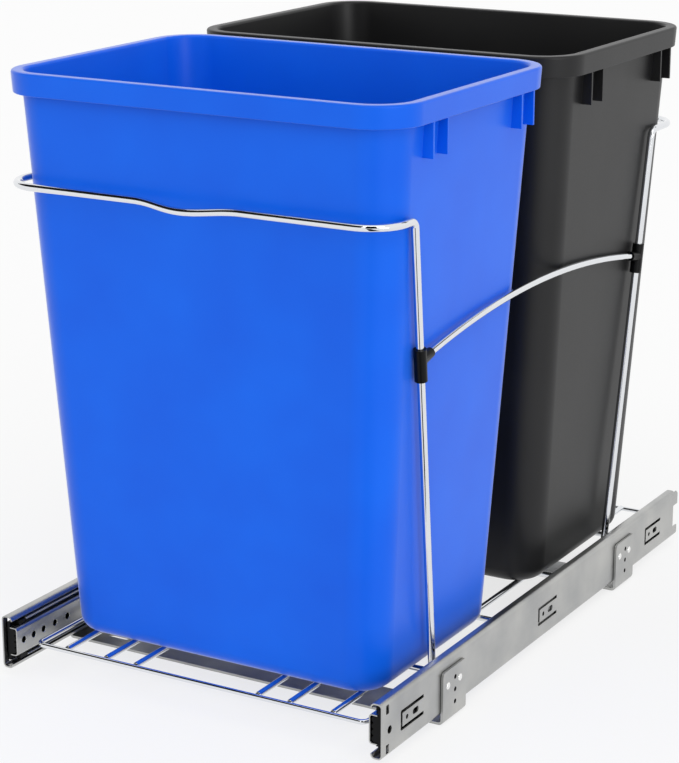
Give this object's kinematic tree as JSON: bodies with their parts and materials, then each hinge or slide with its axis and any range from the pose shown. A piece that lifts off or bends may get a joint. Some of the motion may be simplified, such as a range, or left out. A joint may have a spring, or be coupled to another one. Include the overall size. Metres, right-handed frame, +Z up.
{
  "type": "pull out waste unit",
  "caption": "Pull-out waste unit for a base cabinet: tapered bins on a chrome wire base with end hoops, carried by full-extension ball-bearing slides on steel cross plates.",
  "frame": {"origin": "under the middle of the unit, on the plane of the cross plates' undersides, which stand on the cabinet floor", "axes": "+X to the right seen from the front, +Y to the back of the cabinet, +Z up; the unit pulls out along -Y"},
  "size_m": [0.352, 0.559, 0.4819],
  "materials": {
    "zinc_steel": "zinc plated sheet, smooth, faintly brushed along its length",
    "ball_steel": "bright pressed steel with polished balls",
    "chrome_wire": "bright chrome plate on round wire",
    "black_plastic": "moulded black plastic, satin",
    "blue_polypropylene": "moulded polypropylene, fine satin grain",
    "black_polypropylene": "moulded polypropylene, fine satin grain"
  },
  "bodies": {
    "root": {"left_outer_rail": "zinc_steel", "right_outer_rail": "zinc_steel", "front_cross_plate": "zinc_steel", "rear_cross_plate": "zinc_steel"},
    "carriage": {"left_inner_rail": "zinc_steel", "right_inner_rail": "zinc_steel", "base_perimeter_wire": "chrome_wire", "base_lengthwise_wire_1": "chrome_wire", "base_lengthwise_wire_2": "chrome_wire", "base_lengthwise_wire_3": "chrome_wire", "base_lengthwise_wire_4": "chrome_wire", "base_lengthwise_wire_5": "chrome_wire", "base_lengthwise_wire_6": "chrome_wire", "base_crosswise_wire_1": "chrome_wire", "base_crosswise_wire_2": "chrome_wire", "base_crosswise_wire_3": "chrome_wire", "base_crosswise_wire_4": "chrome_wire", "front_hoop": "chrome_wire", "rear_hoop": "chrome_wire", "left_brace_wire": "chrome_wire", "left_front_clip": "black_plastic", "left_rear_clip": "black_plastic", "right_brace_wire": "chrome_wire", "right_front_clip": "black_plastic", "right_rear_clip": "black_plastic"},
    "left_mid": {"left_mid_rail": "zinc_steel", "left_front_bumper": "black_plastic"},
    "left_outer_cage": {"left_outer_ball_cage": "ball_steel"},
    "left_inner_cage": {"left_inner_ball_cage": "ball_steel"},
    "right_mid": {"right_mid_rail": "zinc_steel", "right_front_bumper": "black_plastic"},
    "right_outer_cage": {"right_outer_ball_cage": "ball_steel"},
    "right_inner_cage": {"right_inner_ball_cage": "ball_steel"},
    "blue_lift_out": {"blue_bin": "blue_polypropylene"},
    "black_lift_out": {"black_bin": "black_polypropylene"}
  },
  "joints": [
    {"name": "carriage_slide", "type": "slide", "parent": "root", "child": "carriage", "axis": [0, -1, 0], "range_m": [0, 0.533]},
    {"name": "left_mid_slide", "type": "slide", "parent": "root", "child": "left_mid", "axis": [0, -1, 0], "range_m": [0, 0.2665]},
    {"name": "left_outer_cage_slide", "type": "slide", "parent": "root", "child": "left_outer_cage", "axis": [0, -1, 0], "range_m": [0, 0.13325]},
    {"name": "left_inner_cage_slide", "type": "slide", "parent": "root", "child": "left_inner_cage", "axis": [0, -1, 0], "range_m": [0, 0.39975]},
    {"name": "right_mid_slide", "type": "slide", "parent": "root", "child": "right_mid", "axis": [0, -1, 0], "range_m": [0, 0.2665]},
    {"name": "right_outer_cage_slide", "type": "slide", "parent": "root", "child": "right_outer_cage", "axis": [0, -1, 0], "range_m": [0, 0.13325]},
    {"name": "right_inner_cage_slide", "type": "slide", "parent": "root", "child": "right_inner_cage", "axis": [0, -1, 0], "range_m": [0, 0.39975]},
    {"name": "blue_bin_lift", "type": "slide", "parent": "carriage", "child": "blue_lift_out", "axis": [0, 0, 1], "range_m": [0, 0.42]},
    {"name": "black_bin_lift", "type": "slide", "parent": "carriage", "child": "black_lift_out", "axis": [0, 0, 1], "range_m": [0, 0.42]}
  ],
  "couplings": [
    {"joint": "left_mid_slide", "follows": "carriage_slide", "ratio": 0.5},
    {"joint": "left_outer_cage_slide", "follows": "carriage_slide", "ratio": 0.25},
    {"joint": "left_inner_cage_slide", "follows": "carriage_slide", "ratio": 0.75},
    {"joint": "right_mid_slide", "follows": "carriage_slide", "ratio": 0.5},
    {"joint": "right_outer_cage_slide", "follows": "carriage_slide", "ratio": 0.25},
    {"joint": "right_inner_cage_slide", "follows": "carriage_slide", "ratio": 0.75}
  ]
}
